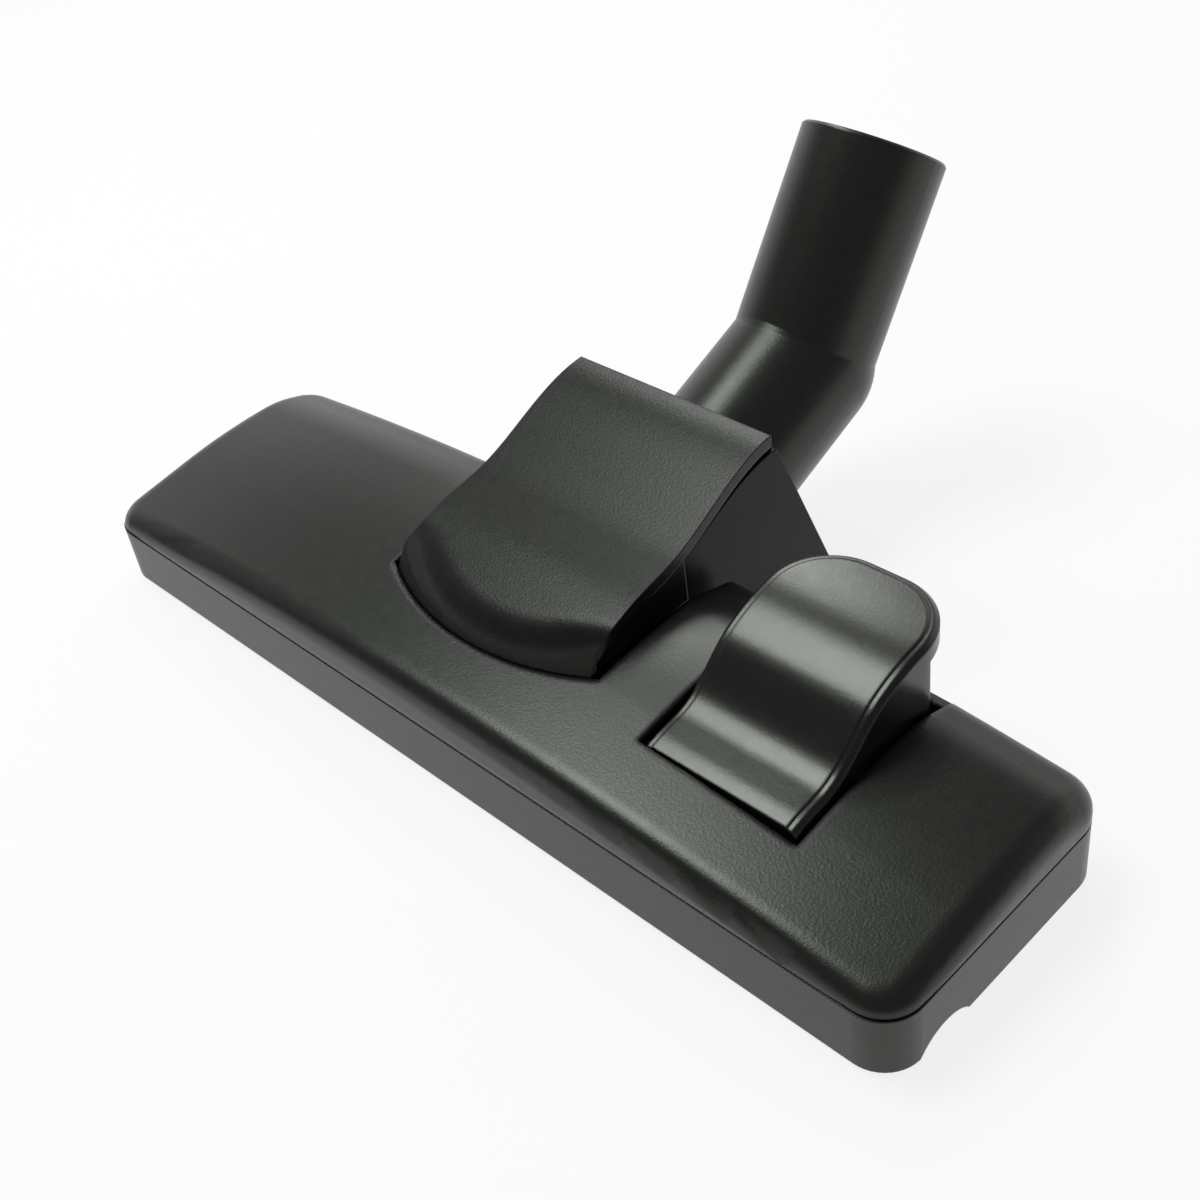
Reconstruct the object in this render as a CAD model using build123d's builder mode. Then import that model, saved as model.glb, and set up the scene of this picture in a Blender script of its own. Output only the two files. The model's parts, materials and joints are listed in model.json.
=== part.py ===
"""Vacuum floor head: domed body with a tilting neck, swivelling elbow, rocker pedal and drop-down brush.

Millimetres. +X runs along the head, +Y to the rear, +Z up. The origin is under the middle of the body,
on the floor.
"""

import os
from math import asin, cos, degrees, radians, sin, sqrt, tan

from build123d import *

# Body
body_length = 272.0
body_depth = 74.0
corner_radius = 9.5
wall = 2.4
part_height = 17.0
groove_height = 0.6
groove_depth = 1.2
tongue_depth = 3.0
tongue_thickness = 1.2
tongue_gap = 0.2
shelf_height = 1.0
crown_height = 35.3
crown_radius = 180.0
rear_radius = 30.0
front_slope = 9.5
rear_slope = 16.0
bow_radius = 1090.0
shoulder_radius = 6.3

# Base and sole
sole_thickness = 1.2
sole_margin = 4.0
floor_thickness = 2.6
channel_end = 30.0
channel_width = 12.0
channel_height = 10.0
channel_wall = 2.0
slot_lip = 1.0
chamber_reach = 21.0
chamber_height = 24.0
notch_height = 4.2
stop_x = 20.0
stop_inset = 5.0
stop_size = 5.0
inlet_inset = 17.0
inlet_width = 16.0
inlet_height = 5.0
inlet_reach = 11.0

# Neck pivot and knuckle
pivot_inset = 23.0
pivot_z = 20.0
plate_half_width = 34.2
plate_taper = 2.4
plate_thickness = 3.2
lip_radius = 35.1
lip_drop = 7.4
skirt_thickness = 2.5
skirt_bottom = 24.0
opening_gap = 0.6
side_gap = 1.8
cheek_inset = 2.8
barrel_radius = 15.0
barrel_half_width = 27.0
trunnion_radius = 4.0
trunnion_length = 4.0
post_width = 12.0
run_clearance = 0.3
pin_clearance = 0.05
neck_wall = 2.4
neck_reach = 10.0
neck_floor_z = 5.6
neck_heel_z = 2.4
neck_step = 3.0
neck_heel = 13.0
cap_height = 6.0
window_half_width = 22.0
cheek_bottom = 30.0
cheek_reach = 23.0
seal_depth = 4.0
shadow_gap = 2.0
shadow_depth = 1.4

# Wave of the knuckle, from the lip to its rear edge
wave_reach = 40.0
wave_start = 27.5
wave_run = 82.0
wave_rise = 31.5

# Elbow
tube_radius = 19.5
tube_bore = 17.5
throat_bore = 16.0
wand_depth = 45.0
mouth_chamfer = 0.7
collar_elevation = 22.1
tube_elevation = 54.8
face_reach = 31.3
face_z = 28.8
collar_length = 38.0
tube_length = 59.7
collar_radius = 20.4
collar_depth = 12.0
socket_wall = 2.6
bend_fillet = 9.0
crease_inset = 0.1
ring_width = 2.0
ring_height = 1.7
ring_groove = 0.8
seal_width = 3.0
seal_height = 1.6
seal_inset = 1.2

# Pedal
pedal_end = 59.5
pedal_width = 42.0
pedal_gap = 0.9
pedal_run = 59.3
pedal_start = 29.7
pedal_rise = 19.8
pedal_overhang = 5.3
pedal_skin = 3.0
pedal_edge = 5.5
pedal_rim = 2.5
pedal_pivot_inset = 32.0
pedal_pivot_z = 26.0
pedal_pin_radius = 2.0
tab_corner = 16.5
finger_width = 12.0
finger_thickness = 4.0
finger_offset = 1.0
bracket_thickness = 3.0
bracket_depth = 11.0
bracket_gap = 1.5
slot_sill = 8.0
leg_front = 10.0
leg_foot = 4.0
leg_rear = 23.0
leg_rise = 2.0
pad_inset = 2.4
pad_step = 0.4
rim_bevel = 1.1

# Brush
brush_inset = 9.0
bristle_width = 3.0
bristle_tip = 0.6
bristle_slack = 1.0
carrier_bottom = 12.0
carrier_height = 5.0
carrier_bar_width = 6.0
carrier_end = 19.0
guide_radius = 2.4
guide_offset = 10.0
guide_top = 22.0
guide_wall = 1.6
bristle_root = 3.0
bristle_end_gap = 2.0
spring_radius = 2.6
spring_wire = 0.9
spring_turns = 4
spring_pocket = 3.5
spring_pad_wall = 1.4

# Wheels
wheel_offset = 12.8
wheel_inset = 11.0
wheel_radius = 7.2
wheel_width = 8.0
wheel_lift = 0.1
wheel_gap = 0.4
wheel_chamfer = 0.8
axle_radius = 1.5
axle_bracket = 2.4
axle_bracket_depth = 10.0
axle_cover = 4.0

# Lint strips and screws
lint_gap = 6.0
lint_width = 4.0
lint_end = 8.0
fit_gap = 0.3
screw_radius = 1.5
screw_head_radius = 2.8
screw_head_height = 1.6
screw_length = 13.0
boss_radius = 3.4
end_screw_inset = 11.0
front_screw_offset = 10.8
screw_inset = 17.5
sole_screw_offset = 7.5
sole_screw_gap = 5.5
sole_screw_length = 7.0
sole_head_height = 1.0
sole_boss_top = 9.0
lint_bottom = 0.1

# Sizes that follow
half_length = body_length / 2
half_depth = body_depth / 2
floor_bottom = sole_thickness
floor_top = floor_bottom + floor_thickness
crown_y = half_depth / 2
pivot_y = half_depth - pivot_inset
chamber_front = pivot_y - chamber_reach
chamber_half_width = barrel_half_width - pin_clearance - run_clearance
channel_half_length = half_length - channel_end
carrier_half_length = half_length - carrier_end
lint_half_length = channel_half_length - lint_end
lint_y = channel_width / 2 + lint_gap
brush_y = half_depth - brush_inset
finger_y = brush_y + finger_offset
guide_y = brush_y - guide_offset
wheel_x = plate_half_width + wheel_offset
wheel_y = half_depth - wheel_inset
axle_length = wheel_width + 2 * wheel_gap + 2 * axle_bracket + 2 * wheel_gap
rear_brush_start = wheel_x + axle_length / 2 + axle_bracket
stop_y = half_depth - stop_inset
inlet_y = inlet_inset - half_depth
neck_front_y = pivot_y + neck_reach
wave_front_y = pivot_y - wave_reach
cheek_half_width = plate_half_width - cheek_inset
cheek_front = pivot_y - cheek_reach
face_y = half_depth + face_reach
pedal_x = half_length - pedal_end
tab_rear_y = half_depth + pedal_overhang
pedal_front_y = tab_rear_y - pedal_run
pedal_pivot_y = half_depth - pedal_pivot_inset
front_screw_x = plate_half_width + front_screw_offset
bow_axis = Axis((0, 0, crown_height - bow_radius), (0, 1, 0))
bow_angle = 1.2 * degrees(asin(half_length / bow_radius))
bow_side = Vector(cos(radians(bow_angle)), 0, sin(radians(bow_angle)))
bow_plane = Plane(origin=bow_axis.position, x_dir=(0, 1, 0), z_dir=bow_side)
pivot_axis = Axis((0, pivot_y, pivot_z), (1, 0, 0))
collar_dir = Vector(0, cos(radians(collar_elevation)), sin(radians(collar_elevation)))
collar_up = Vector(0, -sin(radians(collar_elevation)), cos(radians(collar_elevation)))
tube_dir = Vector(0, cos(radians(tube_elevation)), sin(radians(tube_elevation)))
face_point = Vector(0, face_y, face_z)
bend_point = face_point + collar_dir * collar_length
neck_plane = Plane(origin=face_point, x_dir=(1, 0, 0), z_dir=collar_dir)
bend_plane = Plane(origin=bend_point, x_dir=(1, 0, 0), z_dir=tube_dir)
half_bend = radians((tube_elevation - collar_elevation) / 2)
crease_plane = Plane(origin=bend_point, x_dir=(1, 0, 0), z_dir=collar_dir + tube_dir)
crease_height = tube_radius / cos(half_bend) + bend_fillet * tan(half_bend) * sin(half_bend)
opening_half_width = plate_half_width + side_gap
lip_bow = (plate_half_width**2 + lip_drop**2) / (2 * lip_drop)
os.makedirs("parts", exist_ok=True)


def dome(inset, bottom):
    """Block under the cover's skin, drawn in by inset: top bowed lengthwise and rounded all the way round."""
    long, deep = half_length - inset, half_depth - inset
    front, rear = crown_radius - inset, rear_radius - inset
    crown = bow_radius - inset
    with BuildPart() as form:
        with BuildSketch(bow_plane):
            with BuildLine():
                nose = CenterArc((crown_y, crown - front), front, 90, front_slope)
                tail = CenterArc((crown_y, crown - rear), rear, 90 - rear_slope, rear_slope)
                nose_end, tail_end = nose @ 1, tail @ 0
                front_edge = nose_end.Y - (nose_end.X + deep) * tan(radians(front_slope))
                rear_edge = tail_end.Y - (deep - tail_end.X) * tan(radians(rear_slope))
                Polyline(
                    nose_end,
                    (-deep, front_edge),
                    (-deep, crown - 2 * crown_height),
                    (deep, crown - 2 * crown_height),
                    (deep, rear_edge),
                    tail_end,
                )
            make_face()
        revolve(axis=bow_axis, revolution_arc=2 * bow_angle)
        with BuildSketch(Plane.XY.offset(-crown_height / 2)):
            RectangleRounded(2 * long, 2 * deep, corner_radius - inset)
        extrude(amount=3 * crown_height, mode=Mode.INTERSECT)
        rim = form.edges().filter_by(Axis.Z, reverse=True).filter_by(lambda edge: edge.center().Z > wall)
        rim = rim.filter_by(lambda edge: abs(edge.center().X) > wall or abs(edge.center().Y) > deep - wall)
        fillet(rim, shoulder_radius - inset)
        with BuildSketch(Plane.XY.offset(bottom)):
            Rectangle(body_length, body_depth)
        extrude(amount=2 * crown_height, mode=Mode.INTERSECT)
    return form.part


def lip_barrel(inset, half_width):
    """Crowned drum about the neck pivot, whose front makes the knuckle's bowed lip."""
    with BuildPart() as drum:
        with BuildSketch(Plane.XY.offset(pivot_z)):
            with BuildLine():
                middle = lip_radius - inset
                edge = middle - lip_bow + sqrt(lip_bow**2 - half_width**2)
                Polyline(
                    (-half_width, pivot_y - edge),
                    (-half_width, pivot_y),
                    (half_width, pivot_y),
                    (half_width, pivot_y - edge),
                )
                ThreePointArc(
                    (half_width, pivot_y - edge), (0, pivot_y - middle), (-half_width, pivot_y - edge)
                )
            make_face()
        revolve(axis=pivot_axis)
    return drum.part


def wave_points(drop):
    """Points of the knuckle's wave in Y and Z, from the lip to the rear edge, lowered by drop."""
    runs = (0, 0.085, 0.22, 0.39, 0.55, 0.7, 0.855, 1)
    rises = (0, 0.16, 0.33, 0.49, 0.575, 0.735, 0.917, 1)
    return [(wave_front_y + wave_run * y, wave_start + wave_rise * z - drop) for y, z in zip(runs, rises)]


outer_dome = dome(0, part_height)
inner_dome = dome(wall, part_height - wall)
rib_dome = dome(wall / 2, floor_top)

# Boss and bracket places
cover_screw_places = [(s * (half_length - end_screw_inset), 0) for s in (-1, 1)]
cover_screw_places += [(s * front_screw_x, screw_inset - half_depth) for s in (-1, 1)]
sole_screw_x = pedal_x + sole_screw_offset
sole_screw_y = lint_y + lint_width / 2 + sole_screw_gap
sole_screw_places = [(sx * sole_screw_x, sy * sole_screw_y) for sx in (-1, 1) for sy in (-1, 1)]
pedal_slot_width = pedal_width + 2 * pedal_gap
bracket_x = pedal_slot_width / 2 + bracket_thickness / 2 + bracket_gap

# Ribs and bosses under the cover, trimmed to its skin
with BuildPart() as cover_ribs:
    with BuildSketch(Plane.XY.offset(floor_top)):
        with Locations(*cover_screw_places):
            Circle(boss_radius)
    extrude(amount=crown_height)
    with BuildSketch(Plane.XY.offset(pedal_pivot_z - bracket_depth / 2)):
        with Locations((pedal_x - bracket_x, pedal_pivot_y), (pedal_x + bracket_x, pedal_pivot_y)):
            Rectangle(bracket_thickness, bracket_depth)
    extrude(amount=crown_height)
    add(rib_dome, mode=Mode.INTERSECT)

# Top cover: domed shell with a neck opening and a pedal slot
with BuildPart() as top_cover:
    add(outer_dome)
    add(inner_dome, mode=Mode.SUBTRACT)
    add(cover_ribs.part)
    with BuildSketch(Plane.XY.offset(part_height - tongue_depth)):
        outer = wall + tongue_gap
        RectangleRounded(body_length - 2 * outer, body_depth - 2 * outer, corner_radius - outer)
        inner = outer + tongue_thickness
        RectangleRounded(
            body_length - 2 * inner, body_depth - 2 * inner, corner_radius - inner, mode=Mode.SUBTRACT
        )
    extrude(amount=tongue_depth)
    with BuildSketch(Plane.XY.offset(part_height)):
        RectangleRounded(body_length - wall, body_depth - wall, corner_radius - wall / 2)
        RectangleRounded(
            body_length - 2 * inner, body_depth - 2 * inner, corner_radius - inner, mode=Mode.SUBTRACT
        )
    extrude(amount=shelf_height)
    with BuildSketch(Plane.XY.offset(part_height)):
        RectangleRounded(body_length + 2 * wall, body_depth + 2 * wall, corner_radius + wall)
        RectangleRounded(
            body_length - 2 * groove_depth,
            body_depth - 2 * groove_depth,
            corner_radius - groove_depth,
            mode=Mode.SUBTRACT,
        )
    extrude(amount=groove_height, mode=Mode.SUBTRACT)
    add(lip_barrel(-opening_gap, opening_half_width), mode=Mode.SUBTRACT)
    with BuildSketch(Plane.XY):
        with Locations((0, pivot_y + body_depth / 2)):
            Rectangle(2 * opening_half_width, body_depth)
    extrude(amount=2 * crown_height, mode=Mode.SUBTRACT)
    with BuildSketch(Plane.XY.offset(part_height + slot_sill)):
        slot_front = pedal_front_y - pedal_gap
        with Locations((pedal_x, (slot_front + body_depth) / 2)):
            Rectangle(pedal_slot_width, body_depth - slot_front)
    extrude(amount=crown_height, mode=Mode.SUBTRACT)
    with BuildSketch(Plane.YZ.offset(pedal_x)):
        with Locations((pedal_pivot_y, pedal_pivot_z)):
            Circle(pedal_pin_radius + pin_clearance)
    extrude(amount=bracket_x + bracket_thickness, both=True, mode=Mode.SUBTRACT)
    with Locations(*[(x, y, floor_top) for x, y in cover_screw_places]):
        Cylinder(
            screw_radius + pin_clearance,
            screw_length,
            align=(Align.CENTER, Align.CENTER, Align.MIN),
            mode=Mode.SUBTRACT,
        )
top_cover.part.label = "top_cover"
export_step(top_cover.part, "parts/top_cover.step")

# Places of the brush slots, as centre and length along X
rear_brush_mid = (rear_brush_start + carrier_half_length) / 2
rear_brush_length = carrier_half_length - rear_brush_start
brush_rows = [(0, -brush_y, 2 * carrier_half_length)]
brush_rows += [(s * rear_brush_mid, brush_y, rear_brush_length) for s in (-1, 1)]
guide_x = carrier_half_length - carrier_bar_width / 2
guide_places = [(sx * guide_x, sy * guide_y) for sx in (-1, 1) for sy in (-1, 1)]
wheel_z = wheel_radius + wheel_lift
bracket_offset = wheel_width / 2 + wheel_gap + axle_bracket / 2
post_x = barrel_half_width + run_clearance + (trunnion_length - run_clearance) / 2
post_thickness = trunnion_length - run_clearance
inlet_rise = inlet_height - sole_thickness
inlet_radius = (inlet_width**2 / 4 + inlet_rise**2) / (2 * inlet_rise)


def end_inlets():
    """Arched air inlets cut in the lower edge of both ends."""
    with BuildPart() as arches:
        for side in (-1, 1):
            with BuildSketch(Plane.YZ.offset(side * half_length)):
                with Locations((inlet_y, inlet_height - inlet_radius)):
                    Circle(inlet_radius)
            extrude(amount=-side * inlet_reach)
    return arches.part


# Base housing: rim, floor, suction channel, chamber in front of the drum, posts and pockets
with BuildPart() as base_housing:
    with BuildSketch(Plane.XY.offset(floor_bottom)):
        RectangleRounded(body_length, body_depth, corner_radius)
    extrude(amount=part_height - floor_bottom)
    with BuildSketch(Plane.XY.offset(floor_top)):
        RectangleRounded(body_length - 2 * wall, body_depth - 2 * wall, corner_radius - wall)
    extrude(amount=part_height, mode=Mode.SUBTRACT)
    with BuildSketch(Plane.XY.offset(floor_bottom)):
        Rectangle(2 * (channel_half_length + channel_wall), channel_width + 2 * channel_wall)
    extrude(amount=channel_height + channel_wall - floor_bottom)
    with BuildSketch(Plane.XY.offset(floor_bottom)):
        with Locations((0, (chamber_front + pivot_y) / 2)):
            Rectangle(2 * chamber_half_width, pivot_y - chamber_front)
    extrude(amount=chamber_height - floor_bottom)
    with BuildSketch(Plane.XY.offset(floor_bottom)):
        Rectangle(2 * channel_half_length, channel_width)
    extrude(amount=channel_height - floor_bottom, mode=Mode.SUBTRACT)
    with BuildSketch(Plane.XY.offset(floor_top)):
        with Locations((0, (chamber_front + channel_wall + pivot_y) / 2)):
            Rectangle(2 * (chamber_half_width - channel_wall), pivot_y - chamber_front - channel_wall)
    extrude(amount=chamber_height - channel_wall - floor_top, mode=Mode.SUBTRACT)
    with BuildSketch(Plane.YZ):
        with Locations((pivot_y, pivot_z)):
            Circle(barrel_radius + run_clearance)
    extrude(amount=barrel_half_width, both=True, mode=Mode.SUBTRACT)
    # Saddle posts for the neck's trunnions
    with BuildSketch(Plane.XY.offset(floor_bottom)):
        with Locations((-post_x, pivot_y), (post_x, pivot_y)):
            Rectangle(post_thickness, post_width)
    extrude(amount=pivot_z - floor_bottom)
    with BuildSketch(Plane.YZ):
        with Locations((pivot_y, pivot_z)):
            Circle(trunnion_radius + pin_clearance)
    extrude(amount=opening_half_width, both=True, mode=Mode.SUBTRACT)
    # Stop pads under the neck
    with BuildSketch(Plane.XY.offset(floor_bottom)):
        with Locations((-stop_x, stop_y), (stop_x, stop_y)):
            Rectangle(stop_size, stop_size)
    extrude(amount=neck_floor_z - run_clearance - floor_bottom)
    # Rear notch for the neck
    with BuildSketch(Plane.XY.offset(notch_height)):
        with Locations((0, half_depth)):
            Rectangle(2 * opening_half_width, 2 * wall + tongue_gap)
    extrude(amount=part_height, mode=Mode.SUBTRACT)
    # Wheel pockets and axle brackets
    with BuildSketch(Plane.XY.offset(floor_bottom)):
        for side in (-1, 1):
            for offset_x in (-bracket_offset, bracket_offset):
                with Locations((side * wheel_x + offset_x, wheel_y)):
                    Rectangle(axle_bracket, axle_bracket_depth)
    extrude(amount=wheel_z + axle_cover - floor_bottom)
    with BuildSketch(Plane.XY):
        with Locations((-wheel_x, wheel_y), (wheel_x, wheel_y)):
            Rectangle(wheel_width + 2 * wheel_gap, 2 * (wheel_radius + wheel_gap))
    extrude(amount=floor_top, mode=Mode.SUBTRACT)
    with BuildSketch(Plane.YZ):
        with Locations((wheel_y, wheel_z)):
            Circle(axle_radius + pin_clearance)
    extrude(amount=wheel_x + axle_length, both=True, mode=Mode.SUBTRACT)
    # Guide posts for the brush carrier and bosses for the sole screws
    with BuildSketch(Plane.XY.offset(floor_bottom)):
        with Locations(*guide_places):
            Circle(guide_radius)
    extrude(amount=guide_top - floor_bottom)
    with BuildSketch(Plane.XY.offset(floor_bottom)):
        with Locations(*sole_screw_places):
            Circle(boss_radius)
    extrude(amount=sole_boss_top - floor_bottom)
    with Locations(*[(x, y, floor_bottom) for x, y in sole_screw_places]):
        Cylinder(
            screw_radius + pin_clearance,
            sole_screw_length,
            align=(Align.CENTER, Align.CENTER, Align.MIN),
            mode=Mode.SUBTRACT,
        )
    with Locations(*[(x, y, floor_bottom) for x, y in cover_screw_places]):
        Cylinder(screw_radius + pin_clearance, 2 * floor_thickness, mode=Mode.SUBTRACT)
        Cylinder(screw_head_radius + run_clearance, 2 * screw_head_height, mode=Mode.SUBTRACT)
    # Brush slots and end inlets
    with BuildSketch(Plane.XY):
        for x, y, length in brush_rows:
            with Locations((x, y)):
                Rectangle(length - bristle_slack, bristle_width + bristle_slack)
    extrude(amount=floor_top, mode=Mode.SUBTRACT)
    add(end_inlets(), mode=Mode.SUBTRACT)
base_housing.part.label = "base_housing"
export_step(base_housing.part, "parts/base_housing.step")

# Sole plate with the suction slot and its cut-outs
with BuildPart() as sole_plate:
    with BuildSketch():
        sole_length, sole_depth = body_length - 2 * sole_margin, body_depth - 2 * sole_margin
        RectangleRounded(sole_length, sole_depth, corner_radius - sole_margin)
        Rectangle(2 * (channel_half_length - 2 * slot_lip), channel_width - 2 * slot_lip, mode=Mode.SUBTRACT)
        for x, y, length in brush_rows:
            with Locations((x, y)):
                Rectangle(length - bristle_slack, bristle_width + bristle_slack, mode=Mode.SUBTRACT)
        with Locations((-wheel_x, wheel_y), (wheel_x, wheel_y)):
            Rectangle(wheel_width + 2 * wheel_gap, 2 * (wheel_radius + wheel_gap), mode=Mode.SUBTRACT)
        with Locations((0, -lint_y), (0, lint_y)):
            Rectangle(2 * (lint_half_length + fit_gap), lint_width + 2 * fit_gap, mode=Mode.SUBTRACT)
        with Locations(*cover_screw_places):
            Circle(screw_head_radius + 2 * run_clearance, mode=Mode.SUBTRACT)
    extrude(amount=sole_thickness)
    with Locations(*[(x, y, 0) for x, y in sole_screw_places]):
        Cylinder(screw_radius + pin_clearance, 4 * sole_thickness, mode=Mode.SUBTRACT)
        Cylinder(screw_head_radius + pin_clearance, 2 * sole_head_height, mode=Mode.SUBTRACT)
    add(end_inlets(), mode=Mode.SUBTRACT)
sole_plate.part.label = "sole_plate"
export_step(sole_plate.part, "parts/sole_plate.step")

# Lint strips either side of the slot
for name, side in (("lint_strip_front", -1), ("lint_strip_rear", 1)):
    with BuildPart() as lint_strip:
        with BuildSketch(Plane.XY.offset(lint_bottom)):
            with Locations((0, side * lint_y)):
                Rectangle(2 * lint_half_length, lint_width)
        extrude(amount=sole_thickness - lint_bottom)
    lint_strip.part.label = name
    export_step(lint_strip.part, f"parts/{name}.step")

spring_hole = spring_radius + spring_wire / 2 + run_clearance

# Brush carrier: front bar, end arms and two rear bars, sliding on the guide posts
with BuildPart() as brush_carrier:
    with BuildSketch(Plane.XY.offset(carrier_bottom)):
        for x, y, length in brush_rows:
            with Locations((x, y)):
                Rectangle(length, carrier_bar_width)
        with Locations((-guide_x, 0), (guide_x, 0)):
            Rectangle(carrier_bar_width, 2 * brush_y + carrier_bar_width)
        with Locations(*guide_places):
            Circle(guide_radius + guide_wall)
        with Locations((-guide_x, 0), (guide_x, 0)):
            Circle(spring_hole + spring_pad_wall)
        with Locations(*guide_places):
            Circle(guide_radius + run_clearance, mode=Mode.SUBTRACT)
    extrude(amount=carrier_height)
    with BuildSketch(Plane.XY.offset(carrier_bottom)):
        for x, y, length in brush_rows:
            with Locations((x, y)):
                Rectangle(length - 2 * bristle_end_gap, bristle_width)
    extrude(amount=bristle_root, mode=Mode.SUBTRACT)
    with BuildSketch(Plane.XY.offset(carrier_bottom)):
        with Locations((-guide_x, 0), (guide_x, 0)):
            Circle(spring_hole)
    extrude(amount=spring_pocket, mode=Mode.SUBTRACT)
brush_carrier.part.label = "brush_carrier"
export_step(brush_carrier.part, "parts/brush_carrier.step")

# Bristle strips, rooted in the carrier
for name, row in zip(("bristle_front", "bristle_rear_left", "bristle_rear_right"), brush_rows):
    with BuildPart() as bristle:
        with BuildSketch(Plane.XY.offset(bristle_tip)):
            with Locations((row[0], row[1])):
                Rectangle(row[2] - 2 * bristle_end_gap, bristle_width)
        extrude(amount=carrier_bottom + bristle_root - bristle_tip)
    bristle.part.label = name
    export_step(bristle.part, f"parts/{name}.step")

# Return springs under the carrier's arms, of six-sided wire
spring_length = carrier_bottom + spring_pocket - floor_top
for name, side in (("carrier_spring_left", -1), ("carrier_spring_right", 1)):
    with BuildPart() as carrier_spring:
        with BuildLine():
            coil = Helix(
                (spring_length - spring_wire) / spring_turns,
                spring_length - spring_wire,
                spring_radius,
                center=(side * guide_x, 0, floor_top + spring_wire / 2),
            )
        with BuildSketch(Plane(origin=coil @ 0, z_dir=coil % 0)):
            RegularPolygon(spring_wire / 2, 6)
        sweep(path=coil, is_frenet=True)
    carrier_spring.part.label = name
    export_step(carrier_spring.part, f"parts/{name}.step")

# Wheels beside the neck and their axles
for name, side in (("left", -1), ("right", 1)):
    with BuildPart() as wheel:
        with BuildSketch(Plane.YZ.offset(side * wheel_x)):
            with Locations((wheel_y, wheel_z)):
                Circle(wheel_radius)
                Circle(axle_radius + pin_clearance, mode=Mode.SUBTRACT)
        extrude(amount=wheel_width / 2, both=True)
        chamfer(wheel.edges().filter_by(GeomType.CIRCLE).group_by(SortBy.RADIUS)[-1], wheel_chamfer)
    wheel.part.label = f"wheel_{name}"
    export_step(wheel.part, f"parts/wheel_{name}.step")
    with BuildPart() as wheel_axle:
        with BuildSketch(Plane.YZ.offset(side * wheel_x)):
            with Locations((wheel_y, wheel_z)):
                Circle(axle_radius)
        extrude(amount=axle_length / 2, both=True)
    wheel_axle.part.label = f"wheel_axle_{name}"
    export_step(wheel_axle.part, f"parts/wheel_axle_{name}.step")

# Bearing caps that hold the trunnions down in their saddles
for name, side in (("left", -1), ("right", 1)):
    with BuildPart() as neck_cap:
        with BuildSketch(Plane.XY.offset(pivot_z)):
            with Locations((side * post_x, pivot_y)):
                Rectangle(post_thickness, post_width)
        extrude(amount=cap_height)
        with BuildSketch(Plane.YZ.offset(side * post_x)):
            with Locations((pivot_y, pivot_z)):
                Circle(trunnion_radius + pin_clearance)
        extrude(amount=post_thickness, both=True, mode=Mode.SUBTRACT)
    neck_cap.part.label = f"neck_cap_{name}"
    export_step(neck_cap.part, f"parts/neck_cap_{name}.step")

# Felt strip under the drum
with BuildPart() as barrel_seal:
    with BuildSketch(Plane.XY.offset(floor_top)):
        with Locations((0, pivot_y)):
            Rectangle(2 * (chamber_half_width - channel_wall - run_clearance), seal_depth)
    extrude(amount=pivot_z - barrel_radius - run_clearance - floor_top)
barrel_seal.part.label = "barrel_seal"
export_step(barrel_seal.part, "parts/barrel_seal.step")

# Side outline of the neck's box, from the front wall to the swivel face
neck_top = wave_start + wave_rise + neck_wall
face_lean = collar_up.Y / collar_up.Z
neck_outline = [
    (neck_front_y, neck_floor_z),
    (neck_front_y, neck_top),
    (face_y + (neck_top - face_z) * face_lean, neck_top),
    (face_y + (neck_heel_z - face_z) * face_lean, neck_heel_z),
    (half_depth + neck_heel, neck_heel_z),
    (half_depth + neck_step, neck_floor_z),
]


def under_wave(drop, half_width):
    """Block below the knuckle's wave, lowered by drop."""
    points = wave_points(drop)
    far = face_y + 2 * tube_radius
    with BuildPart() as block:
        with BuildSketch(Plane.YZ):
            with BuildLine():
                Spline(*points)
                Polyline(points[-1], (far, points[-1][1]), (far, 0), (points[0][0], 0), points[0])
            make_face()
        extrude(amount=half_width, both=True)
    return block.part


def socket_disc(radius, start, length):
    """Disc on the swivel axis, from start to start + length along it."""
    with BuildPart() as disc:
        with BuildSketch(neck_plane.offset(start)):
            Circle(radius)
        extrude(amount=length)
    return disc.part


socket_radius = collar_radius + run_clearance
ring_seat = collar_radius - ring_groove
sleeve_depth = collar_depth - 2 * ring_width
ring_start = -sleeve_depth - run_clearance - ring_width
seal_radius = socket_radius + seal_height
seal_start = -seal_width - seal_inset

# Grooves along the top of the neck's sides, which part them from the plate
with BuildPart() as shadow_line:
    add(under_wave(plate_thickness, 2 * plate_half_width))
    add(under_wave(plate_thickness + shadow_gap, 3 * plate_half_width), mode=Mode.SUBTRACT)
    with BuildSketch():
        with Locations((0, pivot_y)):
            Rectangle(2 * (cheek_half_width - shadow_depth), 4 * body_depth)
    extrude(amount=2 * neck_top, mode=Mode.SUBTRACT)

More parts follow.
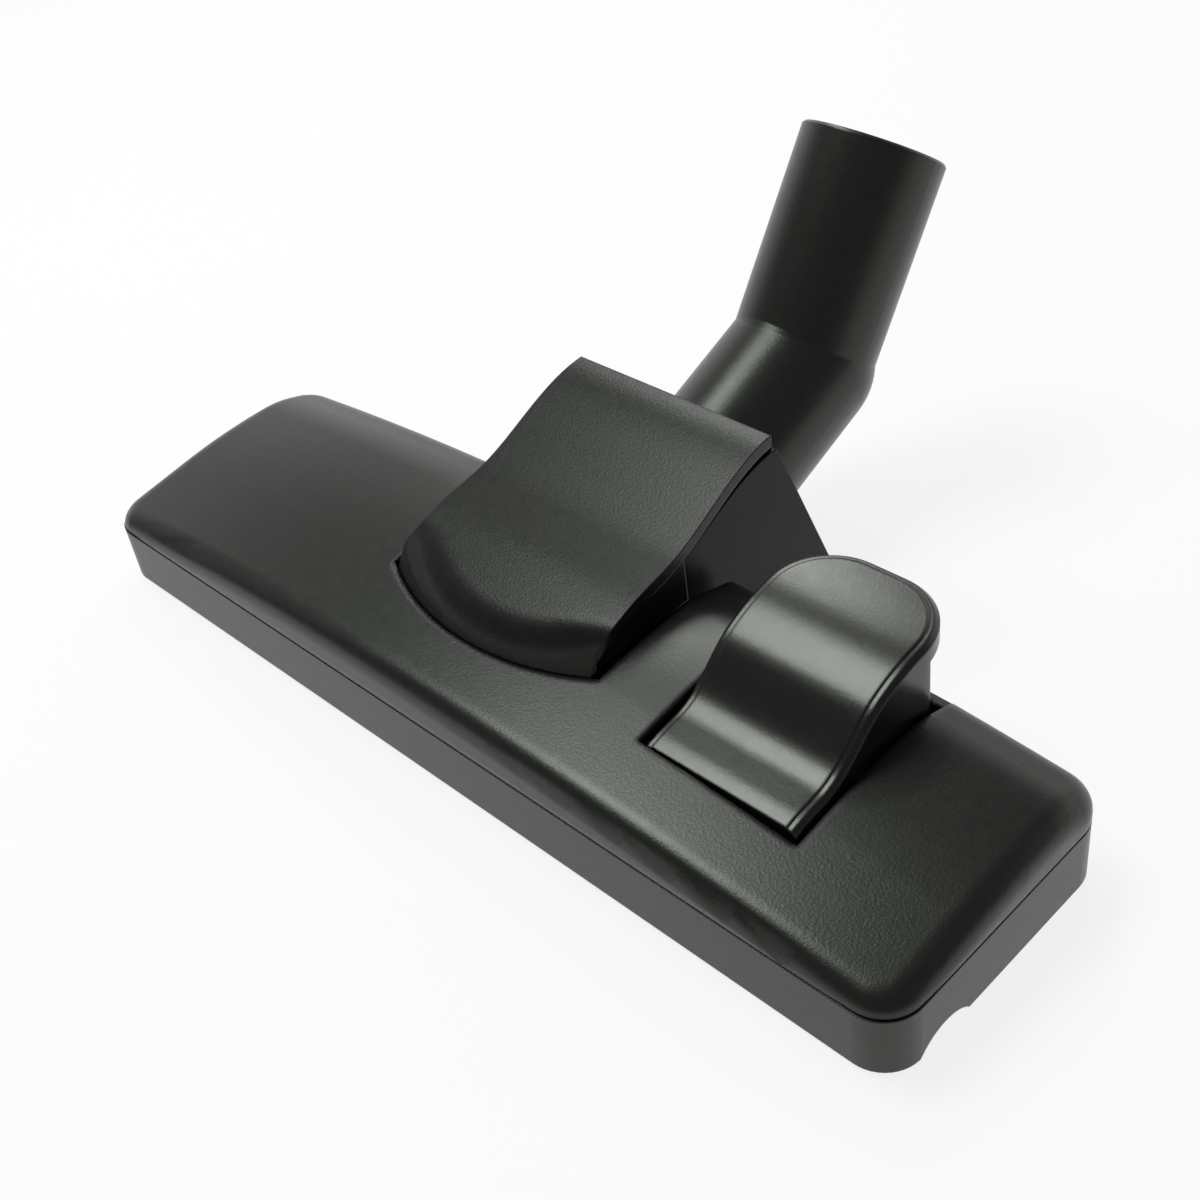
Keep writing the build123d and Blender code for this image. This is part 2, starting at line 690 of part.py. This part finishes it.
# Knuckle body: hollow drum on two trunnions, box and swivel socket
with BuildPart() as knuckle_body:
    with BuildSketch(Plane.YZ):
        Polygon(*neck_outline, align=None)
    extrude(amount=cheek_half_width, both=True)
    with BuildSketch(Plane.YZ):
        Polygon(*neck_outline, align=None)
        offset(amount=-neck_wall, kind=Kind.INTERSECTION, mode=Mode.REPLACE)
    extrude(amount=cheek_half_width - neck_wall, both=True, mode=Mode.SUBTRACT)
    add(under_wave(plate_thickness, 2 * cheek_half_width), mode=Mode.INTERSECT)
    add(shadow_line.part, mode=Mode.SUBTRACT)
    with BuildSketch(Plane.YZ):
        with Locations((pivot_y, pivot_z)):
            Circle(barrel_radius)
    extrude(amount=barrel_half_width, both=True)
    with BuildSketch(Plane.YZ):
        with Locations((pivot_y, pivot_z)):
            Circle(trunnion_radius)
    extrude(amount=barrel_half_width + trunnion_length, both=True)
    with BuildSketch(Plane.YZ):
        with Locations((pivot_y, pivot_z)):
            Circle(barrel_radius - neck_wall)
    extrude(amount=barrel_half_width - neck_wall, both=True, mode=Mode.SUBTRACT)
    with BuildSketch(Plane.YZ):
        Polygon(
            (pivot_y, pivot_z - barrel_radius + 2 * neck_wall),
            (pivot_y, pivot_z + barrel_radius - 2 * neck_wall),
            (neck_front_y + 4 * neck_wall, pivot_z + barrel_radius - 2 * neck_wall),
            (neck_front_y + 4 * neck_wall, pivot_z - barrel_radius + 2 * neck_wall),
            align=None,
        )
        Polygon(
            (pivot_y - 2 * barrel_radius, 0),
            (pivot_y - 2 * barrel_radius, pivot_z - neck_wall),
            (pivot_y - neck_wall, pivot_z - neck_wall),
            (pivot_y - neck_wall, 0),
            align=None,
        )
    extrude(amount=window_half_width, both=True, mode=Mode.SUBTRACT)
    add(socket_disc(socket_radius + socket_wall, -sleeve_depth, sleeve_depth))
    add(socket_disc(socket_radius, -2 * sleeve_depth, 4 * sleeve_depth), mode=Mode.SUBTRACT)
    add(socket_disc(seal_radius, seal_start, seal_width), mode=Mode.SUBTRACT)
knuckle_body.part.label = "knuckle_body"
export_step(knuckle_body.part, "parts/knuckle_body.step")

skirt_run = lip_radius - lip_drop - 2 * skirt_thickness

# Knuckle cover: wave plate with a bowed lip that dips into the body as the neck rises
with BuildPart() as lip_skirt:
    add(lip_barrel(-skirt_thickness, plate_half_width))
    add(lip_barrel(skirt_thickness, plate_half_width + wall), mode=Mode.SUBTRACT)
    with Locations((0, pivot_y - 2 * lip_radius, skirt_bottom)):
        Box(
            4 * plate_half_width,
            2 * (2 * lip_radius - skirt_run),
            2 * wave_rise,
            align=(Align.CENTER, Align.CENTER, Align.MIN),
            mode=Mode.INTERSECT,
        )
    add(under_wave(plate_thickness / 2, 2 * plate_half_width), mode=Mode.INTERSECT)
with BuildPart() as lip_waste:
    with Locations((0, pivot_y, 0)):
        Box(
            4 * plate_half_width,
            3 * lip_radius,
            6 * lip_radius,
            align=(Align.CENTER, Align.MAX, Align.CENTER),
        )
    add(lip_barrel(0, plate_half_width + wall), mode=Mode.SUBTRACT)
with BuildPart() as cheeks:
    with BuildSketch(Plane.YZ):
        Polygon(
            (cheek_front, cheek_bottom),
            (neck_front_y, cheek_bottom),
            (neck_front_y, neck_top),
            (cheek_front, neck_top),
            align=None,
        )
    extrude(amount=cheek_half_width, both=True)
    with BuildSketch(Plane.XY):
        Rectangle(2 * (cheek_half_width - neck_wall), 8 * barrel_radius)
    extrude(amount=2 * neck_top, mode=Mode.SUBTRACT)
    add(under_wave(plate_thickness / 2, 2 * plate_half_width), mode=Mode.INTERSECT)
    add(shadow_line.part, mode=Mode.SUBTRACT)
with BuildPart() as knuckle_cover:
    with BuildSketch(Plane.YZ):
        with BuildLine():
            upper = Spline(*wave_points(0))
            lower = Spline(*wave_points(plate_thickness))
            Line(upper @ 0, lower @ 0)
            Line(upper @ 1, lower @ 1)
        make_face()
    extrude(amount=plate_half_width, both=True)
    add(lip_skirt.part)
    add(lip_waste.part, mode=Mode.SUBTRACT)
    add(cheeks.part)
    with BuildSketch():
        Polygon(
            (-plate_half_width, wave_front_y),
            (plate_half_width, wave_front_y),
            (plate_half_width - plate_taper, wave_front_y + wave_run),
            (plate_taper - plate_half_width, wave_front_y + wave_run),
            align=None,
        )
    extrude(amount=2 * neck_top, mode=Mode.INTERSECT)
knuckle_cover.part.label = "knuckle_cover"
export_step(knuckle_cover.part, "parts/knuckle_cover.step")

# Swivel seal in its recess, and the snap ring that keeps the elbow in
for name, inner, outer, start, width in (
    ("swivel_seal", collar_radius + pin_clearance, seal_radius - pin_clearance, seal_start, seal_width),
    ("swivel_ring", ring_seat, ring_seat + ring_height, ring_start, ring_width),
):
    with BuildPart() as swivel_piece:
        with BuildSketch(neck_plane.offset(start)):
            Circle(outer)
            Circle(inner, mode=Mode.SUBTRACT)
        extrude(amount=width)
    swivel_piece.part.label = name
    export_step(swivel_piece.part, f"parts/{name}.step")

# Elbow: collar and wand tube meeting in a bend, with a lens-shaped facet inside the bend and a wand stop
with BuildPart() as elbow_tube:
    with BuildSketch(neck_plane.offset(-collar_depth)):
        Circle(collar_radius)
    extrude(amount=collar_depth + collar_length)
    with BuildSketch(bend_plane):
        Circle(tube_radius)
    extrude(amount=tube_length)
    with Locations(bend_point):
        Sphere(collar_radius)
    with BuildSketch(crease_plane):
        Ellipse(tube_radius - crease_inset, crease_height)
        Rectangle(3 * tube_radius, 3 * tube_radius, align=(Align.CENTER, Align.MAX), mode=Mode.INTERSECT)
    extrude(amount=1.5 * bend_fillet * sin(half_bend), both=True)
    with BuildSketch(neck_plane.offset(-collar_depth)):
        Circle(throat_bore)
    extrude(amount=collar_depth + collar_length, mode=Mode.SUBTRACT)
    with BuildSketch(bend_plane):
        Circle(throat_bore)
    extrude(amount=tube_length, mode=Mode.SUBTRACT)
    with Locations(bend_point):
        Sphere(throat_bore, mode=Mode.SUBTRACT)
    with BuildSketch(bend_plane.offset(tube_length - wand_depth)):
        Circle(tube_bore)
    extrude(amount=wand_depth, mode=Mode.SUBTRACT)
    chamfer(elbow_tube.edges().group_by(Axis(bend_point, tube_dir))[-1], mouth_chamfer)
    with BuildSketch(neck_plane.offset(ring_start)):
        Circle(collar_radius + wall)
        Circle(ring_seat - pin_clearance, mode=Mode.SUBTRACT)
    extrude(amount=ring_width, mode=Mode.SUBTRACT)
elbow_tube.part.label = "elbow_tube"
export_step(elbow_tube.part, "parts/elbow_tube.step")


def pedal_curve(drop):
    """Points of the pedal's top in Y and Z, from its flush front to the tab, lowered by drop."""
    runs = (0, 0.1, 0.2, 0.305, 0.44, 0.58, 0.78, 1)
    rises = (0, 0.07, 0.13, 0.32, 0.66, 0.853, 0.966, 1)
    return [(pedal_front_y + pedal_run * y, pedal_start + pedal_rise * z - drop) for y, z in zip(runs, rises)]


def pedal_block(drop, inset, front):
    """Block under the pedal's curve with round rear corners, lowered by drop, drawn in by inset and front."""
    points = pedal_curve(drop)
    half_width = pedal_width / 2 - inset
    with BuildPart() as block:
        with BuildSketch(Plane.YZ.offset(pedal_x)):
            with BuildLine():
                Spline(*points)
                Polyline(points[-1], (points[-1][0], 0), (points[0][0], 0), points[0])
            make_face()
        extrude(amount=half_width, both=True)
        with BuildSketch() as plan:
            with Locations((pedal_x, pedal_front_y + front)):
                Rectangle(
                    2 * half_width,
                    tab_rear_y - pedal_front_y - inset - front,
                    align=(Align.CENTER, Align.MIN),
                )
            fillet(plan.vertices().group_by(Axis.Y)[-1], tab_corner - inset)
        extrude(amount=2 * crown_height, mode=Mode.INTERSECT)
    return block.part


# Pedal: waved shell with a rim, two pivot flanges and a finger that presses the brush carrier
flange_x = (pedal_width - bracket_thickness) / 2
with BuildPart() as pedal_legs:
    with BuildSketch(Plane.YZ.offset(pedal_x)):
        Polygon(
            (pedal_pivot_y - leg_front, pedal_pivot_z + leg_foot),
            (pedal_pivot_y - leg_foot, pedal_pivot_z - leg_foot),
            (pedal_pivot_y + leg_foot, pedal_pivot_z - leg_foot),
            (pedal_pivot_y + leg_rear, pedal_pivot_z + leg_rise),
            (pedal_pivot_y + leg_rear, pedal_start + pedal_rise),
            (pedal_pivot_y - leg_front, pedal_start + pedal_rise),
            align=None,
        )
    extrude(amount=flange_x + bracket_thickness / 2, both=True)
    with BuildSketch(Plane.XY):
        with Locations((pedal_x, pedal_pivot_y)):
            Rectangle(2 * flange_x - bracket_thickness, body_depth)
    extrude(amount=2 * crown_height, mode=Mode.SUBTRACT)
    with BuildSketch(Plane.XY.offset(carrier_bottom + carrier_height + run_clearance)):
        with Locations((pedal_x, finger_y)):
            Rectangle(finger_width, finger_thickness)
    extrude(amount=crown_height)
    add(pedal_block(pedal_skin - pad_step, 0, 0), mode=Mode.INTERSECT)
with BuildPart() as pedal:
    add(pedal_block(pad_step, 0, 0))
    rim_edges = pedal.faces().sort_by(Axis.Z)[-1].edges()
    chamfer(rim_edges.filter_by(lambda edge: edge.center().Y > pedal_front_y + pad_inset), rim_bevel)
    add(pedal_block(0, pad_inset, 0))
    add(pedal_block(pedal_edge, -pedal_gap, -pedal_gap), mode=Mode.SUBTRACT)
    add(pedal_block(pedal_skin, pedal_rim, pedal_rim), mode=Mode.SUBTRACT)
    add(pedal_legs.part)
    with BuildSketch(Plane.YZ.offset(pedal_x)):
        with Locations((pedal_pivot_y, pedal_pivot_z)):
            Circle(pedal_pin_radius + pin_clearance)
    extrude(amount=pedal_width, both=True, mode=Mode.SUBTRACT)
pedal.part.label = "pedal"
export_step(pedal.part, "parts/pedal.step")

# Pin that carries the pedal between the cover's brackets
with BuildPart() as pedal_pin:
    with BuildSketch(Plane.YZ.offset(pedal_x)):
        with Locations((pedal_pivot_y, pedal_pivot_z)):
            Circle(pedal_pin_radius)
    extrude(amount=bracket_x + bracket_thickness / 2, both=True)
pedal_pin.part.label = "pedal_pin"
export_step(pedal_pin.part, "parts/pedal_pin.step")

# Screws: four into the cover's bosses, four through the sole
for name, places, bottom, head, length in (
    ("cover_screws", cover_screw_places, floor_bottom, screw_head_height, screw_length),
    ("sole_screws", sole_screw_places, lint_bottom, sole_head_height - lint_bottom, sole_screw_length),
):
    with BuildPart() as screws:
        with Locations(*[(x, y, bottom) for x, y in places]):
            Cylinder(screw_head_radius, head, align=(Align.CENTER, Align.CENTER, Align.MIN))
            Cylinder(screw_radius, length, align=(Align.CENTER, Align.CENTER, Align.MIN))
    screws.part.label = name
    export_step(screws.part, f"parts/{name}.step")
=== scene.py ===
"""Looks for the vacuum floor head: black moulded plastics on a pale floor under soft studio light."""

import json
from math import cos, radians, sin

import bpy
from mathutils import Matrix, Quaternion, Vector


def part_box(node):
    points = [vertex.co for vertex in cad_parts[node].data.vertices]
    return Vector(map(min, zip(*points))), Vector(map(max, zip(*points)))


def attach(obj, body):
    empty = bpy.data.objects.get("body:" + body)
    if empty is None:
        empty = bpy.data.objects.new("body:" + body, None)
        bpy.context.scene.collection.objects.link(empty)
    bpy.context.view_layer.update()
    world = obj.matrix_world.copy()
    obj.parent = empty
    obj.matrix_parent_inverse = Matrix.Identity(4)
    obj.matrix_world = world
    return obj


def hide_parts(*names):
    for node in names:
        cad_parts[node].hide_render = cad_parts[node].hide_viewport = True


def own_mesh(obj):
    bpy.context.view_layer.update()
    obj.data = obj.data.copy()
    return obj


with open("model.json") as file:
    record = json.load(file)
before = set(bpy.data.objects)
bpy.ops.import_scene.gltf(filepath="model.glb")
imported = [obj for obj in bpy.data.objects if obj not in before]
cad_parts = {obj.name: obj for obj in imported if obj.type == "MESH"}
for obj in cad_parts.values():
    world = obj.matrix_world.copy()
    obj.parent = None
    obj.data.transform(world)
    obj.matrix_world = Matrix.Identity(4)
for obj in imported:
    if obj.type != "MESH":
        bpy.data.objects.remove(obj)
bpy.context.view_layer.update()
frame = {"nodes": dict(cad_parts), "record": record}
nodes = frame["nodes"]
scene = bpy.context.scene

# Camera, as read from the photograph
camera_place = Vector((0.2472, -0.1828, 0.2746))
camera_azimuth = radians(50.18)
camera_pitch = radians(38.89)
camera_roll = radians(-8.72)
camera_lens = 49.08
sensor_width = 36.0
nearest_seen = 0.01

# Lip of the knuckle: it lies on a crowned drum about the neck pivot and rolls over at its front
neck_pivot = Vector((0, 0.014, 0.020))
lip_radius = 0.0351
lip_bow = 0.0827
lip_roll = 0.0065
lip_slope = 0.35

# Springs that lift the brush carrier: the height where they stand
spring_seat = 0.0038

# Floor sheet and surroundings: a white backdrop behind and to the left, a dim room elsewhere
floor_reach = 6.0
floor_white = 0.84
backdrop_side = Vector((-0.5, 0.85, 0)).normalized()
backdrop_turn = 0.5
backdrop_top = 0.62
backdrop_fade = 0.24
room_light = 0.2
lamp_aim = Vector((0, 0.04, 0.03))

# Black plastic: its colour, its faint green cast in mirrored light, and its moulded grain
black = (0.0070, 0.0078, 0.0072)
sheen_tint = (0.93, 1.0, 0.90)
cloud_scale = 420
sheen_scale = 300
grain_scale = 1500
grain_depth = 0.00004

# Steel and fibres
streak_scale = 240
scratch_scale = 2200
scratch_depth = 0.00002
pile_depth = 0.00016


def material(name):
    """A new node material, with its node tree and its principled shader."""
    made = bpy.data.materials.new(name)
    made.use_nodes = True
    tree = made.node_tree
    return made, tree, tree.nodes["Principled BSDF"]


def feed(tree, socket, value):
    """Links a socket to an input, or sets the input to a plain value."""
    if isinstance(value, bpy.types.NodeSocket):
        tree.links.new(value, socket)
    else:
        socket.default_value = value


def number(tree, operation, first, second):
    """A sum, product or other operation on two numbers."""
    made = tree.nodes.new("ShaderNodeMath")
    made.operation = operation
    feed(tree, made.inputs[0], first)
    feed(tree, made.inputs[1], second)
    return made.outputs["Value"]


def vector(tree, operation, first, second=(0, 0, 0), output="Vector"):
    """An operation on one or two vectors."""
    made = tree.nodes.new("ShaderNodeVectorMath")
    made.operation = operation
    feed(tree, made.inputs[0], first)
    feed(tree, made.inputs[1], second)
    return made.outputs[output]


def ramp(tree, value, start, end, low=0.0, high=1.0):
    """Maps a value from start and end to low and high, and holds it there outside."""
    made = tree.nodes.new("ShaderNodeMapRange")
    made.inputs["From Min"].default_value = start
    made.inputs["From Max"].default_value = end
    made.inputs["To Min"].default_value = low
    made.inputs["To Max"].default_value = high
    tree.links.new(value, made.inputs["Value"])
    return made.outputs["Result"]


def coordinates(tree, kind):
    """Coordinates of the shaded point as a vector, and its X, Y and Z by name."""
    point = tree.nodes.new("ShaderNodeTexCoord").outputs[kind]
    split = tree.nodes.new("ShaderNodeSeparateXYZ")
    tree.links.new(point, split.inputs["Vector"])
    return point, split.outputs


def noise(tree, scale, detail, low=0.0, high=1.0, stretch=(1, 1, 1)):
    """A noise in object space, spread from low to high."""
    point = tree.nodes.new("ShaderNodeTexCoord").outputs["Object"]
    texture = tree.nodes.new("ShaderNodeTexNoise")
    texture.inputs["Scale"].default_value = scale
    texture.inputs["Detail"].default_value = detail
    texture.inputs["Roughness"].default_value = 0.6
    tree.links.new(vector(tree, "MULTIPLY", point, stretch), texture.inputs["Vector"])
    return ramp(tree, texture.outputs["Fac"], 0.3, 0.7, low, high)


def mix(tree, share, first, second):
    """Mixes two colours by a value socket."""
    made = tree.nodes.new("ShaderNodeMix")
    made.data_type = "RGBA"
    tree.links.new(share, made.inputs["Factor"])
    for socket, colour in ((made.inputs[6], first), (made.inputs[7], second)):
        feed(tree, socket, colour if isinstance(colour, bpy.types.NodeSocket) else (*colour, 1))
    return made.outputs[2]


def bump(tree, shader, height, strength, depth):
    """Feeds a bump to the shader; returns its node, so that a normal can be fed in."""
    made = tree.nodes.new("ShaderNodeBump")
    made.inputs["Strength"].default_value = strength
    made.inputs["Distance"].default_value = depth
    tree.links.new(height, made.inputs["Height"])
    tree.links.new(made.outputs["Normal"], shader.inputs["Normal"])
    return made


def tone(colour, times, more=0.0):
    """A darker or paler colour."""
    return tuple(c * times + more for c in colour)


def plastic(name, colour, rough, grain, edge=0.0006, wear=0.35, gloss=0.5):
    """Moulded plastic with a fine grain, uneven sheen and slightly polished, rounded edges."""
    made, tree, shader = material(name)
    shader.inputs["Specular IOR Level"].default_value = gloss
    shader.inputs["Specular Tint"].default_value = (*sheen_tint, 1)
    rounded = tree.nodes.new("ShaderNodeBevel")
    rounded.samples = 6
    rounded.inputs["Radius"].default_value = edge
    flat = tree.nodes.new("ShaderNodeNewGeometry").outputs["Normal"]
    turned = vector(tree, "DOT_PRODUCT", rounded.outputs["Normal"], flat, "Value")
    worn = ramp(tree, turned, 0.98, 0.75, 0, wear)
    cloud = mix(tree, noise(tree, cloud_scale, 4), tone(colour, 0.82), tone(colour, 1.2))
    tree.links.new(mix(tree, worn, cloud, tone(colour, 1.9, 0.01)), shader.inputs["Base Color"])
    tree.links.new(noise(tree, sheen_scale, 4, rough * 0.94, rough * 1.06), shader.inputs["Roughness"])
    skin = bump(tree, shader, noise(tree, grain_scale, 2), grain, grain_depth)
    tree.links.new(rounded.outputs["Normal"], skin.inputs["Normal"])
    return made


def metal(name, colour, rough):
    """Bright drawn steel with fine streaks."""
    made, tree, shader = material(name)
    shader.inputs["Metallic"].default_value = 1
    streak = noise(tree, streak_scale, 5)
    tree.links.new(mix(tree, streak, tone(colour, 0.8), colour), shader.inputs["Base Color"])
    tree.links.new(noise(tree, 600, 4, rough * 0.7, rough * 1.3), shader.inputs["Roughness"])
    bump(tree, shader, noise(tree, scratch_scale, 3), 0.15, scratch_depth)
    return made


def fibre(name, colour, stretch):
    """Short pile or filaments: streaks along one axis, with a strong bump."""
    made, tree, shader = material(name)
    streak = noise(tree, 1, 3, stretch=stretch)
    tree.links.new(mix(tree, streak, tone(colour, 0.45), colour), shader.inputs["Base Color"])
    tree.links.new(ramp(tree, streak, 0, 1, 0.75, 0.95), shader.inputs["Roughness"])
    bump(tree, shader, streak, 0.8, pile_depth)
    return made


def roll_lip(tree):
    """Turns the normals of the knuckle's lip outward over the last few millimetres of its front."""
    point, part = coordinates(tree, "Object")
    across = vector(tree, "MULTIPLY", vector(tree, "SUBTRACT", point, neck_pivot), (0, 1, 1))
    arm = vector(tree, "LENGTH", across, output="Value")
    crown = number(tree, "MULTIPLY", number(tree, "MULTIPLY", part["X"], part["X"]), 1 / (2 * lip_bow))
    near_edge = ramp(tree, number(tree, "ADD", arm, crown), lip_radius - lip_roll, lip_radius)
    in_front = ramp(tree, part["Y"], 0, -lip_roll)
    outward = tree.nodes.new("ShaderNodeCombineXYZ")
    tree.links.new(number(tree, "MULTIPLY", part["X"], 1 / lip_bow), outward.inputs["X"])
    outward.inputs["Y"].default_value = -1
    outward.inputs["Z"].default_value = lip_slope
    turned = tree.nodes.new("ShaderNodeMix")
    turned.data_type = "VECTOR"
    tree.links.new(number(tree, "MULTIPLY", near_edge, in_front), turned.inputs["Factor"])
    tree.links.new(tree.nodes["Bevel"].outputs["Normal"], turned.inputs[4])
    tree.links.new(outward.outputs["Vector"], turned.inputs[5])
    tree.links.new(vector(tree, "NORMALIZE", turned.outputs[1]), tree.nodes["Bump"].inputs["Normal"])


finishes = {
    "cover_plastic": plastic("cover_plastic", black, rough=0.31, grain=0.4, edge=0.002),
    "base_plastic": plastic("base_plastic", (0.0080, 0.0088, 0.0082), rough=0.32, grain=0.4),
    "pedal_plastic": plastic("pedal_plastic", (0.0050, 0.0053, 0.0050), rough=0.24, grain=0.2, edge=0.0008),
    "tube_plastic": plastic("tube_plastic", (0.0080, 0.0088, 0.0082), rough=0.32, grain=0.3),
    "sole_plastic": plastic("sole_plastic", (0.035, 0.035, 0.036), rough=0.5, grain=0.5),
    "wheel_plastic": plastic("wheel_plastic", (0.11, 0.11, 0.115), rough=0.5, grain=0.5),
    "seal_rubber": plastic("seal_rubber", (0.012, 0.012, 0.012), rough=0.7, grain=0.5),
    "lint_fabric": fibre("lint_fabric", (0.30, 0.03, 0.03), stretch=(900, 300, 900)),
    "bristle_nylon": fibre("bristle_nylon", (0.035, 0.035, 0.037), stretch=(1500, 1500, 60)),
    "seal_felt": fibre("seal_felt", (0.12, 0.12, 0.12), stretch=(600, 600, 600)),
    "plain_steel": metal("plain_steel", (0.62, 0.62, 0.63), rough=0.3),
}
for part in frame["record"]["subparts"]:
    piece = nodes[part["node"]]
    piece.data.materials.clear()
    piece.data.materials.append(finishes[part["material_slot"]])
    even = piece.modifiers.new("even_shading", "WEIGHTED_NORMAL")
    even.mode = "FACE_AREA_WITH_ANGLE"
    even.keep_sharp = True

# The knuckle has a duller skin than the cover; its box is darker still, as painted shade for walls that lie
# in shade
wave_plastic = plastic("wave_plastic", black, rough=0.32, grain=0.5, gloss=0.3)
roll_lip(wave_plastic.node_tree)
# Painted shade: the box's darker colour and weaker sheen stand in for the shade that falls beside the plate
shaded_box_plastic = plastic("shaded_box_plastic", (0.0060, 0.0066, 0.0062), rough=0.36, grain=0.5, gloss=0.15)
nodes["knuckle_cover"].data.materials[0] = wave_plastic
nodes["knuckle_body"].data.materials[0] = shaded_box_plastic

# Each spring is shown by a copy of its mesh, attached to the body, in place of the packed spring
for side in ("left", "right"):
    node = "carrier_spring_" + side
    coil = bpy.data.objects.new("coil_" + side, nodes[node].data.copy())
    scene.collection.objects.link(coil)
    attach(coil, "body")
    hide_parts(node)
    foot, head = (Vector(corner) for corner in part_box(node))
    seat = (foot + head) / 2
    seat.z = spring_seat
    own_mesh(coil)


def seen_by_eye(tree, share):
    """A value of share for rays from the camera and for mirrored and refracted ones, else nought."""
    rays = tree.nodes.new("ShaderNodeLightPath").outputs
    mirrored = number(tree, "MAXIMUM", rays["Is Glossy Ray"], rays["Is Transmission Ray"])
    return number(tree, "MULTIPLY", number(tree, "MAXIMUM", rays["Is Camera Ray"], mirrored), share)


# Floor: a wide pale sheet, partly white of its own so that it shows only a faint shadow
corners = [(x * floor_reach, y * floor_reach, 0) for x, y in ((-1, -1), (1, -1), (1, 1), (-1, 1))]
floor_mesh = bpy.data.meshes.new("floor")
floor_mesh.from_pydata(corners, [], [(0, 1, 2, 3)])
floor = bpy.data.objects.new("floor", floor_mesh)
scene.collection.objects.link(floor)
paper, tree, shader = material("paper")
pulp = mix(tree, noise(tree, 6, 4), (0.91, 0.91, 0.905), (0.93, 0.93, 0.925))
tree.links.new(pulp, shader.inputs["Base Color"])
tree.links.new(noise(tree, 30, 3, 0.7, 0.8), shader.inputs["Roughness"])
glow = tree.nodes.new("ShaderNodeEmission")
blend = tree.nodes.new("ShaderNodeMixShader")
tree.links.new(seen_by_eye(tree, floor_white), blend.inputs["Fac"])
tree.links.new(shader.outputs["BSDF"], blend.inputs[1])
tree.links.new(glow.outputs["Emission"], blend.inputs[2])
tree.links.new(blend.outputs["Shader"], tree.nodes["Material Output"].inputs["Surface"])
floor_mesh.materials.append(paper)


def softbox(name, place, width, height, turn, power):
    """A rectangular studio lamp that looks at the head, turned about its own axis."""
    lamp = bpy.data.lights.new(name, "AREA")
    lamp.shape = "RECTANGLE"
    lamp.size = width
    lamp.size_y = height
    lamp.energy = power
    box = bpy.data.objects.new(name, lamp)
    scene.collection.objects.link(box)
    box.location = place
    look = (lamp_aim - Vector(place)).to_track_quat("-Z", "Y")
    box.rotation_euler = (look @ Quaternion((0, 0, 1), radians(turn))).to_euler()


softbox("top_box", (-0.42, -0.11, 1.03), width=0.60, height=0.42, turn=-25, power=7.4)
softbox("rear_box", (-0.56, 0.56, 0.81), width=0.28, height=0.28, turn=45, power=2.2)

# World: the backdrop's white fades upward and toward the sides into the room
world = bpy.data.worlds.new("studio")
scene.world = world
world.use_nodes = True
tree = world.node_tree
sky = tree.nodes["Background"]
sky.inputs["Color"].default_value = (1, 1, 1, 1)
heading, part = coordinates(tree, "Generated")
toward = vector(tree, "DOT_PRODUCT", heading, backdrop_side, "Value")
facing = ramp(tree, toward, 0, backdrop_turn)
below_top = ramp(tree, part["Z"], backdrop_top, backdrop_top - backdrop_fade)
level = ramp(tree, number(tree, "MULTIPLY", facing, below_top), 0, 1, room_light, 1)
tree.links.new(level, sky.inputs["Strength"])

# Camera from its heading, pitch and roll
lens = bpy.data.cameras.new("camera")
lens.lens = camera_lens
lens.sensor_width = sensor_width
lens.clip_start = nearest_seen
camera = bpy.data.objects.new("camera", lens)
scene.collection.objects.link(camera)
across = Vector((cos(camera_azimuth), sin(camera_azimuth), 0))
forward = Vector((-sin(camera_azimuth), cos(camera_azimuth), 0))
ahead = forward * cos(camera_pitch) - Vector((0, 0, sin(camera_pitch)))
above = across.cross(ahead)
right = across * cos(camera_roll) + above * sin(camera_roll)
up = above * cos(camera_roll) - across * sin(camera_roll)
camera.matrix_world = Matrix.Translation(camera_place) @ Matrix((right, up, -ahead)).transposed().to_4x4()
scene.camera = camera
scene.view_settings.view_transform = "Standard"
